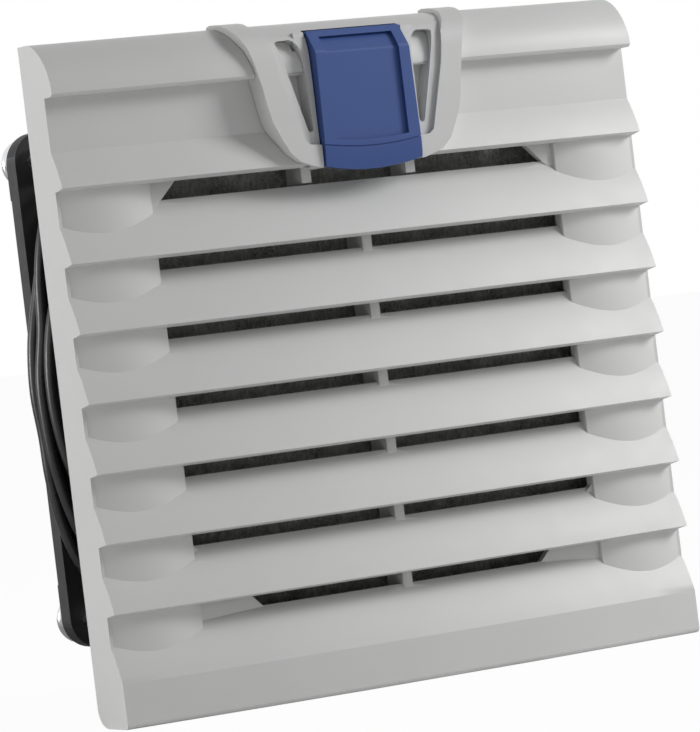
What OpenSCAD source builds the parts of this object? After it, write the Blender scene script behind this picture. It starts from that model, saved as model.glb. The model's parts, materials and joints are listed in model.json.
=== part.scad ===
// Enclosure filter fan for a square panel cut-out, in millimetres.
// +X points right as seen from the front, +Y into the enclosure and +Z up.
// The origin is the middle of the bezel, on the front face of the panel.

/* [Grille] */
// Width and height of the louvred grille
grille_size = 148.5; // [146:0.5:151]
// Depth of the louvre tips in front of the panel, at the sides
louvre_depth = 14.07; // [13.5:0.05:15.5]
// How much further forward the middle of the front stands than its sides
front_bow = 3.2; // [2.6:0.1:3.6]
// Wall of the grille moulding
grille_wall = 1.8; // [1.4:0.1:2.1]
// Height of the rolled cap, from the top edge to its lip
cap_height = 12.08; // [11.5:0.1:12.6]
// How far the cap stands in front of the louvre tips
cap_lead = 0.27; // [0.1:0.01:0.6]
// Length of the flat top behind the rolled cap
cap_flat = 4; // [3:0.5:5]
// Height of the plain wall and first fold under the cap
recess_height = 19.83; // [19:0.1:21]
// Height of the plain band under the lowest fold
base_height = 9.75; // [9:0.25:11]

/* [Louvres] */
// Number of equal folds
louvre_count = 7; // [6:1:8]
// Height from the first fold's tip to the next one
first_pitch = 16.35; // [15.8:0.1:17]
// How far the tips stand in front of the recess behind them
louvre_reach = 3.68; // [3.3:0.1:4.2]
// Radius of a fold's curved face
louvre_r = 37; // [34:1:42]
// Thickness of a fold
louvre_wall = 2.2; // [1.8:0.1:2.6]
// Half of the open width between the end columns
gap_half = 52; // [48:1:54]
// Radius of the end columns' rounded face
column_r = 31.3; // [28:0.1:36]
// How far a column's crown stands in front of the recess plate
column_rise = 1.9; // [1.4:0.1:2.3]
// Thickness of the webs that tie the folds together
web_t = 2.4; // [2:0.1:3]
// Half of the distance between the two upper webs
web_x = 13.4; // [10:0.2:16]

/* [Hinge] */
// Radius of the rolled rear edge at the hinge
hinge_r = 4.4; // [4.2:0.1:4.6]
// Radius of the hinge pins
hinge_pin_r = 1.1; // [0.9:0.05:1.4]
// Radius of the round ends of the frame's hinge ears
ear_r = 2.3; // [2:0.05:2.4]
// Thickness of one hinge ear
ear_t = 3; // [2.4:0.1:3.6]
// Width of one hinge lug on the grille
lug_w = 4.7; // [4:0.1:6]
// Distance from the middle to a hinge lug's centre
lug_x = 51.65; // [44:0.05:56]

/* [Latch bracket] */
// Half of the bracket's width at its top
bracket_half_w = 30; // [28:0.5:32]
// Height of the bracket
bracket_h = 35.3; // [34.8:0.1:35.8]
// Depth of the bracket's face in front of the panel
bracket_depth = 18.9; // [18.6:0.1:19.4]
// How far the bracket is let into the cap
bracket_sink = 0.8; // [0.5:0.05:1]
// Step from the bracket's rim down to its inner field
rim_drop = 0.9; // [0.6:0.05:1]

/* [Latch clip] */
// Half of the clip's width at its top
clip_half_w = 11.85; // [11.4:0.05:12.1]
// How much wider the clip is on each side at the bottom
clip_flare = 0.5; // [0.2:0.1:0.7]
// Height of the clip
clip_h = 31.6; // [31:0.1:32]
// Depth of the clip's face in front of the panel
clip_depth = 19.9; // [19.6:0.1:20.6]
// Wall of the clip
clip_wall = 1.6; // [1.4:0.1:1.9]
// Depth of the recessed panel in the clip's face
panel_sink = 0.8; // [0.4:0.05:0.9]
// Radius of the latch pins
latch_pin_r = 0.75; // [0.6:0.05:0.85]
// Half of the width of the hook's arm
hook_half_w = 4; // [3:0.25:4.5]
// Height of the hook's arm
hook_h = 4.4; // [3.6:0.1:4.8]
// How far the hook's nose reaches above its arm
nose_rise = 2.2; // [1.6:0.1:2.6]

/* [Mounting frame] */
// Width and height of the panel cut-out
cutout_size = 124; // [123.6:0.1:125]
// Thickness of the frame's flange
flange_t = 3; // [2.4:0.1:3.2]
// Thickness of the compressed panel seal
seal_t = 1.2; // [0.8:0.1:1.5]
// Width of the seal's band
seal_w = 2; // [1.6:0.1:2]
// Length of the collar behind the seal
collar_len = 6.5; // [6:0.25:8]
// Wall of the collar
collar_wall = 1.7; // [1.4:0.1:1.9]
// Thickness of the wall between the filter mat and the fan
back_wall = 3; // [2.4:0.1:3.4]
// Distance of the collar's middle below the grille's middle
collar_drop = 0.9; // [0.5:0.1:1]

/* [Filter mat] */
// Width and height of the filter mat
mat_size = 118; // [115:0.5:119]

/* [Fan] */
// Width and height of the fan
fan_size = 118; // [117:0.5:119]
// Depth of the fan between its flange faces
fan_depth = 38; // [37:0.5:39]
// Thickness of each fan flange
fan_flange_t = 4.3; // [3.6:0.1:5]
// Distance between the fan's screw holes
hole_pitch = 104.8; // [104:0.1:105.4]
// Radius of the fan's screw holes
fan_hole_r = 2.15; // [2.1:0.05:2.5]
// Inner radius of the fan's barrel
barrel_r = 56; // [55.7:0.1:56.4]
// Wall of the barrel
barrel_wall = 2; // [1.6:0.1:2.2]
// Radius of the fan's screws
screw_r = 1.9; // [1.6:0.05:2]
// Radius of the screw heads in the groove
screw_head_r = 3.5; // [3:0.1:4]

/* [Motor and impeller] */
// Number of impeller blades
blade_count = 7; // [5:1:7]
// Gap between the blade tips and the barrel
tip_gap = 1.5; // [1:0.1:2.5]
// Outer radius of the impeller's hub
hub_r = 33; // [32.6:0.1:34.5]
// Outer radius of the steel rotor cup
cup_r = 30.5; // [30:0.1:31]
// Wall of the rotor cup
cup_wall = 2.5; // [2:0.1:2.8]
// Thickness of a blade
blade_t = 1.8; // [1.4:0.1:2.2]
// Radius of a blade's curved section
blade_curve_r = 30; // [28:1:34]
// Width that a blade covers round the hub
blade_span = 26; // [22:1:27]
// Radius of the rotor shaft
shaft_r = 2.5; // [2:0.05:2.8]
// Outer radius of the bearings
bearing_r = 6.48; // [6:0.02:6.6]
// Length of each bearing
bearing_len = 5; // [4:0.5:6]
// Outer radius of the stator's poles
stator_r = 24; // [22:0.5:24.5]
// Radius of the motor's rear plate
motor_plate_r = 30; // [28:0.5:32]
// Width of the struts that carry the motor
strut_w = 6; // [5:0.5:8]

/* [Finger guard] */
// Radius of the guard's wire
wire_r = 1.05; // [0.9:0.05:1.15]
// Number of guard rings
ring_count = 5; // [4:1:6]
// Radius of the outer guard ring
ring_r = 52; // [50:0.5:54]
// Radius of the guard's screw loops, at the wire's middle
loop_r = 4.55; // [4.3:0.05:4.8]
// Length of the spacers under the guard
spacer_len = 2.2; // [1.8:0.1:3]
// Height of the fan's corner pads
pad_rise = 1.5; // [1:0.1:2]
// Radius of the guard screws' flat heads
guard_head_r = 4; // [3.8:0.1:4.4]

/* [Leads] */
// Diameter of one lead
lead_d = 2.7; // [2.3:0.1:2.75]
// Distance between neighbouring leads
lead_pitch = 2.8; // [2.8:0.05:3]

/* [Hidden] */

// Clearances
fit_gap = 0.15;
seat_gap = 0.2;
run_gap = 0.05;
swing_gap = 0.3;
// Overrun of every cut, and a length past the whole object
over = 0.5;
far = 400;
round_fn = 64;

// Grille: places and angles of the folds
half = grille_size / 2;
rear_gap = 0.2;
cap_depth = louvre_depth + cap_lead;
recess_depth = louvre_depth - louvre_reach;
lip_z = half - cap_height;
first_tip = lip_z - recess_height;
last_tip = base_height - half;
pitch = (first_tip - first_pitch - last_tip) / (louvre_count - 1);
tips = concat([first_tip], [for (k = [0:louvre_count - 1]) last_tip + (louvre_count - 1 - k) * pitch]);
tip_angle = 72;
nib_angle = 68;
top_angle = 50.9;
arc_steps = 8;
arc_d = louvre_depth - louvre_r * sin(tip_angle);
arc_z = -louvre_r * cos(tip_angle);
nib_drop = 0.65;
nib_rise = 1.2;
cap_steps = 12;
cap_power = 1.8;
cap_shoulder = 0.15;
lip_t = 0.9;
lip_round = 0.35;
base_round = 1.2;
side_inset = 0.06;
round_steps = 5;

// Grille: the bow of its front in plan
bow_r = (pow(half, 2) + pow(front_bow, 2)) / (2 * front_bow);
bow_y = bow_r - louvre_depth - front_bow;
bow_span = 2 * asin((half + over) / (bow_r - louvre_depth - front_bow - over)) + 1;

// Grille: plate, columns and webs behind the folds
plate_t = 1.8;
plate_depth = recess_depth - 0.19;
plate_corner = 88;
plate_top = first_tip + 7;
column_depth = plate_depth + column_rise;
column_x = (gap_half + half - 0.5) / 2;
column_y = column_r - column_depth;
column_foot = last_tip + 6;
web_front = column_depth - 0.5;
web_rear = 4.6;
upper_web_h = 12;
lower_web_top = tips[1] + 1;

// Hinge
hinge_y = -(hinge_r + rear_gap);
hinge_z = hinge_r - half;
roll_r = hinge_r - grille_wall;
lug_gap = 0.3;
ear_x = lug_x + lug_w / 2 + lug_gap;
ear_slot = ear_x + ear_t + lug_gap;

// Bracket: outlines as shares of its half width and height, profile as shares of its depth and height
bracket_foot = half + 0.85 - bracket_h;
bracket_rear = 3.6;
bracket_outline_shares = [
    [1, 1.1], [1, 0.969], [0.955, 0.88], [0.917, 0.807], [0.88, 0.69], [0.85, 0.572], [0.828, 0.46],
    [0.8, 0.346], [0.74, 0.232], [0.683, 0.144], [0.61, 0.085], [0.52, 0.056], [0.443, 0.037], [0, 0]
];
bracket_profile_shares = [
    [0.86, 0], [0.926, 0.011], [0.98, 0.03], [1, 0.062], [1, 0.147], [0.989, 0.346], [0.979, 0.572],
    [0.963, 0.742], [0.945, 0.8], [0.91, 0.855], [0.85, 0.905], [0.72, 0.955], [0.6, 0.98],
    [0.476, 0.993], [0.317, 1], [0.24, 0.993], [0.19, 0.972]
];
field_shares = [
    [0.817, 1.1], [0.817, 0.955], [0.765, 0.88], [0.73, 0.827], [0.712, 0.742], [0.69, 0.64],
    [0.627, 0.45], [0.547, 0.21], [0.51, 0.185], [0.38, 0.175]
];
window_shares = [
    [0.67, 0.835], [0.65, 0.845], [0.55, 0.85], [0.515, 0.838], [0.487, 0.81], [0.468, 0.76],
    [0.461, 0.7], [0.453, 0.289], [0.46, 0.27], [0.48, 0.262], [0.498, 0.272]
];
boss_t = 2.6;
boss_half_h = 1.9;
boss_rear = 12.6;

// Clip: profile as places down from its top and back from its face
clip_top = bracket_foot + bracket_h - 3.7;
clip_foot = clip_top - clip_h;
clip_gap = 0.3;
bevel_run = 3.7;
bevel_drop = 4.4;
bevel_ease = 0.5;
clip_tail = 6;
tail_back = 0.6;
clip_sag = 1.5;
clip_sag_steps = 8;
panel_half_w = 9.3;
panel_top = clip_top - 1.5;
panel_h = 23;
panel_foot = panel_top - panel_h;
panel_arch = 1.2;
tail_groove = 0.25;
clip_side_t = 1.5;
pivot_y = bevel_run + 1 - clip_depth;
pivot_z = clip_top - 2.1;
eye_r = 1.8;
hook_top = clip_top - 5;
hook_rear = 4.6;
hook_clear = 3;
side_notch = 9;
nose_t = 1.6;
hook_hole_half = hook_half_w + 1;
spring_t = 0.35;
spring_half_w = 3;
spring_steps = 8;

// Mounting frame
collar_z = -collar_drop;
frame_gap = 0.95;
frame_half = half - grille_wall - frame_gap;
flange_rear = -seal_t;
flange_front = flange_rear - flange_t;
flange_foot = hinge_z + hinge_r + 0.45;
flange_corner = 3;
collar_half = cutout_size / 2 - swing_gap;
pocket_half = collar_half - collar_wall;
aperture_r = barrel_r + 0.5;
seal_half = collar_half + swing_gap;
barb_rise = 1.5;
barb_len = 4.3;
tongue_w = 9;
tongue_x = 33;
tongue_slot = 1;
catch_top = hook_top + 3.6;
catch_foot = hook_top + 0.6;
catch_rear = -(hook_rear + nose_t + 0.6);
catch_t = 1.8;
cheek_in = hook_half_w + 3;
cheek_t = 1.8;

// Filter mat
mat_front = -web_rear + swing_gap;
mat_rear = collar_len - back_wall - seat_gap;
mat_corner = 1.5;

// Fan
fan_y = collar_len;
fan_end = fan_y + fan_depth;
fan_z = collar_z;
hole_x = hole_pitch / 2;
fan_corner = 7;
pad_size = 15;
screw_grip = 2.6;
screw_head_h = 2;
socket_r_share = 0.45;
groove_front = fan_y + fan_flange_t;
groove_rear = fan_end - fan_flange_t;

// Motor and impeller
blade_tip_r = barrel_r - tip_gap;
cup_front = fan_y + 5.5;
cup_rear = groove_rear - 2.2;
cup_face = 1.5;
tube_in = bearing_r + 0.02;
tube_out = tube_in + 1.5;
tube_front = cup_front + 4;
plate_front = groove_rear + 0.3;
tube_floor = 1.3;
core_len = 14;
core_front = tube_front + 4;
pole_half = 7;
pole_shoe = 3.5;
yoke_r = 13;
coil_gap = 0.3;
coil_len = 22;
coil_t = 2.6;
shaft_end = fan_end - 2.5;
circlip_t = 0.8;
circlip_w = 1.7;
groove_deep = 0.3;
blade_front = cup_front + 0.5;
blade_rear = groove_rear - 2.7;
hub_vent_r = 3;
vent_count = 6;
oil_groove = 0.4;

// Finger guard
pad_face = fan_end + pad_rise;
spacer_r = 3.4;
loop_swell = 0.05;
loop_y = pad_face + spacer_len + wire_r + loop_swell;
weld = 0.35;
leg_in_r = 9;
loop_reach = hole_x * sqrt(2) - loop_r;
guard_head_h = 2;
nut_r = 3.7;
nut_h = 3.2;
thread_past = 1;

// Leads: the arcs hug the barrel, and the slack points are chosen by hand, as [x, z]
lead_r = lead_d / 2;
lead_hug = barrel_r + barrel_wall + lead_r + 0.75;
lead_y = groove_rear - lead_r - 0.05;
grommet_a = 45;
grommet_w = 8;
grommet_in = blade_tip_r + 1.1;
grommet_out = lead_hug + lead_r + 0.2;
lead_start = grommet_a + asin((grommet_w / 2 + swing_gap) / lead_hug);
arc_step = 11;
upper_arc = [for (k = [0:6]) lead_start + k * arc_step];
lower_arc = [for (k = [0:6]) 244 + k * arc_step];
whole_arc = [for (k = [0:24]) lead_start + k * arc_step];
slack_a = [
    [-36.4, 49.9], [-46.6, 47.2], [-54.4, 42], [-58.3, 34.4], [-60.1, 24.8], [-60.6, 13.7], [-61.9, 2],
    [-61.4, -9], [-59.9, -19], [-57.2, -29.9], [-52.9, -39], [-46, -46.2], [-37, -51]
];
slack_b = [
    [-36.2, 49.2], [-45.6, 45.6], [-52.8, 39.6], [-57.4, 31.2], [-59.9, 21], [-61.8, 10.5], [-62.3, -0.5],
    [-60.9, -11], [-60.3, -20.5], [-58.6, -31.5], [-54.8, -41.5], [-47.2, -48.4], [-37.3, -52.4]
];
lead_sides = 8;
ferrule_len = 8;
ferrule_collar = 4;
ferrule_r = 0.8;

// Colours
pale_grey = [0.84, 0.85, 0.84];
clip_blue = [0.22, 0.32, 0.58];
mat_grey = [0.28, 0.28, 0.27];
fan_black = [0.06, 0.06, 0.065];
steel = [0.75, 0.76, 0.78];
copper = [0.72, 0.42, 0.24];
rubber_grey = [0.18, 0.18, 0.19];

// A block between two corners
module slab(low, high) {
    translate(low) cube(high - low);
}

// A solid along X from an outline of [depth in front of the panel, z]
module along_x(x_low, x_high) {
    translate([x_high, 0, 0]) rotate([90, 0, -90]) linear_extrude(x_high - x_low) children();
}

// A solid along Y from an outline of [x, z]
module along_y(y_low, y_high) {
    translate([0, y_high, 0]) rotate([90, 0, 0]) linear_extrude(y_high - y_low) children();
}

// The grille's bowed sweep of an outline of [depth at the sides, z]
module bowed() {
    translate([0, bow_y, 0]) rotate([0, 0, -90 - bow_span / 2])
        rotate_extrude(angle = bow_span, $fn = 360) translate([bow_r - louvre_depth, 0]) children();
}

// A square with round corners, about its middle
module round_square(w, h, r) {
    square([w - 2 * r, h], center = true);
    square([w, h - 2 * r], center = true);
    for (sx = [-1, 1], sz = [-1, 1])
        translate([sx * (w / 2 - r), sz * (h / 2 - r)]) circle(r, $fn = round_fn);
}

// Both sides of the middle plane
module both_sides() {
    children();
    mirror([1, 0, 0]) children();
}

// A cylinder along X
module rod_x(x_low, x_high, r) {
    translate([x_low, 0, 0]) rotate([0, 90, 0]) cylinder(x_high - x_low, r = r, $fn = round_fn);
}

// A cylinder along Y about the fan's axis or a screw hole
module rod_y(y_low, y_high, r) {
    translate([0, y_low, 0]) rotate([-90, 0, 0]) cylinder(y_high - y_low, r = r, $fn = round_fn);
}

module at_screw_holes() {
    for (sx = [-1, 1], sz = [-1, 1]) translate([sx * hole_x, 0, fan_z + sz * hole_x]) children();
}

// Points of a path moved sideways: positive moves them to the right of its direction
function path_dir(p, i) = let (a = p[max(i - 1, 0)], b = p[min(i + 1, len(p) - 1)]) (b - a) / norm(b - a);
function path_aside(p, by) = [for (i = [0:len(p) - 1]) let (t = path_dir(p, i)) p[i] + by * [t[1], -t[0]]];
function backwards(p) = [for (i = [len(p) - 1:-1:0]) p[i]];
function mirrored(p) = [for (q = backwards(p)) [-q[0], q[1]]];
function at_shares(shares, w, h, foot) = [for (s = shares) [s[0] * w, foot + s[1] * h]];
function corner_arc(c, r, a, b) =
    [for (i = [0:round_steps]) c + r * [cos(a + (b - a) * i / round_steps), sin(a + (b - a) * i / round_steps)]];

// The cap's rolled curve, from its flat top to its lip
cap_rise = cap_height - cap_shoulder - lip_t / 2;
cap_run = cap_depth - cap_flat;
cap_roll_z = half - cap_shoulder - cap_rise;
function cap_curve() = [for (i = [0:cap_steps]) let (a = 90 * i / cap_steps)
    [cap_flat + cap_run * pow(sin(a), 2 / cap_power), cap_roll_z + cap_rise * pow(cos(a), 2 / cap_power)]];
function cap_outer() = concat([[-front_bow - over, half - cap_shoulder]], cap_curve());
function cap_lip() = [[cap_depth - lip_round, lip_z + lip_round / 4], [cap_depth - 2 * lip_round, lip_z - lip_round / 2],
    [recess_depth - grille_wall, lip_z - lip_round / 2]];

// A fold's curved face and its closed section
function fold_point(tip, a, r) = [arc_d + r * sin(a), tip + arc_z + r * cos(a)];
function fold_face(tip, r) =
    [for (i = [0:arc_steps]) fold_point(tip, tip_angle + (top_angle - tip_angle) * i / arc_steps, r)];
function fold_back(tip) = [for (i = [arc_steps:-1:0])
    fold_point(tip, nib_angle + (top_angle - nib_angle) * i / arc_steps, louvre_r - louvre_wall)];
function fold_nib(tip) = [[recess_depth + 0.5, tip + nib_rise], [recess_depth, tip - nib_drop]];
function fold(tip) = concat(fold_face(tip, louvre_r), fold_back(tip), fold_nib(tip));

// Louvred grille

// The cap, filled behind its outer face moved inward by a depth
module cap_fill(inward) {
    polygon(concat(path_aside(cap_outer(), inward), [[cap_depth - inward - lip_round, lip_z - lip_round / 2],
        [-front_bow - over, lip_z - lip_round / 2]]));
}

module cap_section() {
    shelf_z = lip_z + grille_wall;
    difference() {
        polygon(concat(cap_outer(), cap_lip(), [[-front_bow - over, lip_z]]));
        polygon(concat([for (p = path_aside(cap_outer(), grille_wall)) if (p[1] > shelf_z) p],
            [[cap_depth - grille_wall, shelf_z], [recess_depth - grille_wall, shelf_z],
            [recess_depth - grille_wall, lip_z - over], [-front_bow - 2 * over, lip_z - over]]));
    }
}

module recess_section() {
    translate([recess_depth - grille_wall, first_tip + louvre_wall])
        square([grille_wall, lip_z - first_tip - louvre_wall]);
}

module base_section() {
    front = louvre_depth;
    polygon(concat([[front - grille_wall, last_tip + grille_wall], [front, last_tip]],
        backwards(corner_arc([front - base_round, base_round - half], base_round, -90, 0)),
        [[-over, -half], [-over, grille_wall - half], [front - grille_wall, grille_wall - half]]));
}

// The outline of a side wall
module side_section() {
    intersection() {
        union() {
            polygon(concat(cap_outer(), cap_lip(), [[-front_bow - over, lip_z - over]]));
            translate([0, hinge_z]) square([recess_depth, lip_z - hinge_z]);
            for (tip = tips) polygon(concat(fold_face(tip, louvre_r), [[recess_depth - over, tip + louvre_wall],
                [recess_depth - over, tip - nib_drop]]));
            polygon(concat([[0, last_tip], [louvre_depth, last_tip]],
                backwards(corner_arc([louvre_depth - base_round, base_round - half], base_round, -90, 0)),
                [[-hinge_y, -half]], [[0, -half]]));
        }
        union() {
            translate([rear_gap, hinge_z]) square([far, far]);
            translate([-hinge_y, -half]) square([far, far]);
            translate([-hinge_y, hinge_z]) circle(hinge_r, $fn = round_fn);
        }
    }
}

module grille_plate() {
    c = collar_z;
    difference() {
        slab([-half + over, -plate_depth, column_foot], [half - over, plate_t - plate_depth, plate_top]);
        along_y(-far, far) polygon([for (s = [[1, 1], [-1, 1], [-1, -1], [1, -1]], k = [0, 1])
            (s[0] * s[1] > 0 ? k : 1 - k) == 0
                ? [s[0] * gap_half, c + s[1] * (plate_corner - gap_half)]
                : [s[0] * (plate_corner - half), c + s[1] * half]]);
    }
}

module grille_columns() {
    both_sides() intersection() {
        translate([column_x, column_y, column_foot]) cylinder(first_tip - column_foot, r = column_r, $fn = 128);
        slab([gap_half, -far, -half], [half - over, plate_t - plate_depth, half]);
    }
}

module grille_webs() {
    slab([-web_t / 2, -web_front, column_foot + 4], [web_t / 2, -web_rear, lower_web_top]);
    both_sides() slab([web_x - web_t / 2, -web_front, first_tip - upper_web_h / 3],
        [web_x + web_t / 2, -web_rear, first_tip + 2 * upper_web_h / 3]);
}

// The rolled rear edge, open at the ears and solid at the lugs
module grille_roll() {
    roll_end = half - grille_wall / 2;
    mid_end = 2 * lug_x - ear_slot;
    for (span = [[-mid_end, mid_end], [-roll_end, -ear_slot], [ear_slot, roll_end]])
        along_x(span[0], span[1])
            intersection() {
                translate([-hinge_y, hinge_z]) difference() {
                    circle(hinge_r, $fn = round_fn);
                    circle(roll_r, $fn = round_fn);
                }
                translate([0, -half]) square([-hinge_y, hinge_r]);
            }
}

module grille_lugs() {
    both_sides() along_x(lug_x - lug_w / 2, lug_x + lug_w / 2) {
        translate([-hinge_y, hinge_z]) circle(hinge_r, $fn = round_fn);
        translate([-hinge_y, -half]) square([hinge_r, hinge_r]);
    }
}

// What the bracket, the clip and its hook take out of the grille
module latch_cuts() {
    difference() {
        along_y(-far, fit_gap - bracket_rear) polygon(bracket_outline(-fit_gap));
        bowed() {
            cap_fill(bracket_sink);
            translate([-far / 2, -half]) square([far, half + lip_z]);
        }
    }
    slab([-clip_half_w - clip_gap, -far, lip_z - grille_wall / 2],
         [clip_half_w + clip_gap, -cap_flat - grille_wall, pivot_z + eye_r + over]);
    slab([-hook_hole_half, -far, hook_top - hook_h - hook_clear], [hook_hole_half, -cap_flat, hook_top + over]);
    both_sides() slab([0, -far, pivot_z - boss_half_h - fit_gap],
        [clip_half_w + 2 * clip_gap + boss_t + fit_gap, fit_gap - boss_rear, pivot_z + boss_half_h + fit_gap]);
}

module louvre_grille() {
    color(pale_grey) difference() {
        union() {
            intersection() {
                bowed() {
                    cap_section();
                    recess_section();
                    for (tip = tips) polygon(fold(tip));
                }
                slab([-half, -far, -half], [half, -rear_gap, half]);
            }
            intersection() {
                bowed() base_section();
                slab([-half, -far, -half], [half, hinge_y, half]);
            }
            both_sides() along_x(half - grille_wall, half) offset(delta = -side_inset) side_section();
            grille_plate();
            grille_columns();
            grille_webs();
            grille_roll();
            grille_lugs();
        }
        latch_cuts();
        translate([0, hinge_y, hinge_z]) both_sides()
            rod_x(lug_x - lug_w, lug_x + lug_w, hinge_pin_r + run_gap);
    }
}

module hinge_pins() {
    color(steel) both_sides() translate([0, hinge_y, hinge_z])
        rod_x(ear_x - 2 * lug_gap - lug_w - ear_t, ear_x + ear_t, hinge_pin_r);
}

// Latch bracket

function bracket_outline(inward) = let (p = path_aside(at_shares(bracket_outline_shares, bracket_half_w, bracket_h,
    bracket_foot), inward)) concat(p, mirrored(p));
function bracket_profile() = at_shares(bracket_profile_shares, bracket_depth, bracket_h, bracket_foot);

module bracket_fill(inward) {
    polygon(concat(path_aside(bracket_profile(), -inward), [[0, half - grille_wall], [0, bracket_foot]]));
}

module latch_bracket() {
    field = at_shares(field_shares, bracket_half_w, bracket_h, bracket_foot);
    window = at_shares(window_shares, bracket_half_w, bracket_h, bracket_foot);
    boss_x = clip_half_w + 2 * clip_gap;
    color(pale_grey) difference() {
        union() {
            difference() {
                intersection() {
                    along_y(-far, -bracket_rear) polygon(bracket_outline(0));
                    along_x(-half, half) bracket_fill(0);
                }
                intersection() {
                    along_y(-far, 0) polygon(concat(field, mirrored(field)));
                    difference() {
                        slab([-half, -far, 0], [half, 0, far]);
                        along_x(-far, far) bracket_fill(rim_drop);
                    }
                }
                bowed() {
                    cap_fill(bracket_sink - fit_gap);
                    translate([-far / 2, -half]) square([far / 2 + recess_depth + fit_gap, half + lip_z + over]);
                    polygon(concat(fold_face(first_tip, louvre_r + fit_gap), [[0, first_tip + louvre_r],
                        [0, first_tip - nib_drop - fit_gap], [louvre_depth + fit_gap, first_tip - nib_drop - fit_gap]]));
                }
            }
            both_sides() slab([boss_x, -bracket_depth + 3 * rim_drop, pivot_z - boss_half_h],
                [boss_x + boss_t, -boss_rear, pivot_z + boss_half_h]);
        }
        clip_pocket();
        both_sides() along_y(-far, -recess_depth) polygon(window);
        translate([0, pivot_y, pivot_z]) both_sides()
            rod_x(boss_x - over, boss_x + boss_t + over, latch_pin_r + run_gap / 2);
    }
}

// The space in the bracket that the clip sits in and turns up into
module clip_pocket() {
    top = clip_top + clip_gap;
    along_y(-far, 0) polygon([
        [clip_half_w + clip_gap, top], [clip_half_w + clip_flare + clip_gap, clip_foot - over],
        [-clip_half_w - clip_flare - clip_gap, clip_foot - over], [-clip_half_w - clip_gap, top]
    ]);
}

// Latch clip

function clip_outer() = [
    [-pivot_y - 0.6, pivot_z + eye_r - 0.1], [clip_depth - bevel_run, clip_top],
    [clip_depth - bevel_ease, clip_top - bevel_drop], [clip_depth, clip_top - bevel_drop - 2 * bevel_ease],
    [clip_depth, clip_foot + clip_tail], [clip_depth - tail_back / 3, clip_foot + clip_tail / 2],
    [clip_depth - tail_back, clip_foot + clip_tail / 5], [clip_depth - 1.5 * tail_back, clip_foot - over]
];

module clip_fill(inward) {
    polygon(concat(path_aside(clip_outer(), inward), [[0, clip_foot - over], [0, pivot_z]]));
}

// The clip's front outline, with its arched lower edge
module clip_front() {
    foot_w = clip_half_w + clip_flare;
    polygon(concat([[-clip_half_w, clip_top + over], [clip_half_w, clip_top + over]],
        [for (i = [clip_sag_steps:-1:-clip_sag_steps]) let (s = i / clip_sag_steps)
            [s * foot_w, clip_foot + clip_sag * s * s]]));
}

module clip_side() {
    wall_clear = recess_depth + front_bow + 2 * swing_gap;
    tip_clear = louvre_depth + front_bow + 2 * swing_gap;
    polygon(concat([for (i = [1:6]) clip_outer()[i]], [[tip_clear, clip_foot + clip_tail / 5],
        [tip_clear, first_tip + 1], [wall_clear, first_tip + side_notch], [wall_clear, lip_z], [wall_clear, pivot_z]]));
    translate([-pivot_y, pivot_z]) circle(eye_r, $fn = round_fn);
}

module latch_clip() {
    x_in = clip_half_w - clip_side_t;
    color(clip_blue) difference() {
        intersection() {
            union() {
                along_x(-far, far) difference() {
                    clip_fill(0);
                    clip_fill(clip_wall);
                    translate([-pivot_y, pivot_z - over]) mirror([1, 0]) square([far, far]);
                }
                both_sides() along_x(x_in, clip_half_w + clip_flare) clip_side();
                along_x(-hook_half_w, hook_half_w) polygon([
                    [clip_depth - clip_wall / 2, hook_top], [hook_rear + nose_t, hook_top],
                    [hook_rear + nose_t, hook_top + nose_rise], [hook_rear + nose_t / 2, hook_top + nose_rise],
                    [hook_rear, hook_top + nose_rise / 2], [hook_rear, hook_top - hook_h],
                    [clip_depth - clip_wall / 2, hook_top - hook_h]
                ]);
            }
            along_y(-far, 0) clip_front();
        }
        difference() {
            along_y(-far, 0) clip_panel();
            along_x(-half, half) clip_fill(panel_sink);
        }
        intersection() {
            along_y(-far, pivot_y) tail_line();
            along_x(-half, half) difference() {
                clip_fill(-over);
                clip_fill(tail_groove);
            }
        }
        translate([0, pivot_y, pivot_z]) rod_x(-half, half, latch_pin_r + run_gap + 0.02);
    }
}

// The recessed field of the clip's face, with an arched lower edge
module clip_panel() {
    polygon(concat([[-panel_half_w, panel_top], [panel_half_w, panel_top]],
        [for (i = [clip_sag_steps:-1:-clip_sag_steps]) let (s = i / clip_sag_steps)
            [s * panel_half_w, panel_foot + panel_arch * (s * s - 1) / 2]]));
}

// The fine arched groove above the clip's finger tail
module tail_line() {
    line = [for (i = [clip_sag_steps:-1:-clip_sag_steps]) let (s = i / clip_sag_steps)
        [s * (clip_half_w + 2 * clip_flare), clip_foot + clip_tail - 0.8 + panel_arch * s * s]];
    polygon(concat(line, [for (p = backwards(line)) p + [0, -tail_groove]]));
}

module latch_pins() {
    color(steel) translate([0, pivot_y, pivot_z]) both_sides()
        rod_x(clip_half_w - clip_side_t - 0.1, clip_half_w + 2 * clip_gap + boss_t - 0.3, latch_pin_r);
}

// A bent leaf that presses the clip shut
function leaf_line() = let (back = clip_depth - clip_wall - spring_t / 2, tip_d = recess_depth + front_bow + spring_t,
    top = hook_top - hook_h - 1) concat([[back, top], [back, top - 2]],
    [for (i = [0:spring_steps]) let (s = i / spring_steps)
        [back + (tip_d - back) * (1 - cos(180 * s)) / 2, top - 4 - 5 * s]]);

module latch_spring() {
    line = leaf_line();
    color(steel) along_x(-spring_half_w, spring_half_w) polygon(concat(path_aside(line, spring_t / 2),
        backwards(path_aside(line, -spring_t / 2))));
}

// Mounting frame, seal and mat

module square_ring(y_low, y_high, out_half, in_half, corner) {
    along_y(y_low, y_high) translate([0, collar_z]) difference() {
        round_square(2 * out_half, 2 * out_half, corner);
        square(2 * in_half, center = true);
    }
}

// The four sides of the collar, turned about its middle
module collar_sides() {
    for (a = [0:90:270]) translate([0, 0, collar_z]) rotate([0, a, 0]) children();
}

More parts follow.
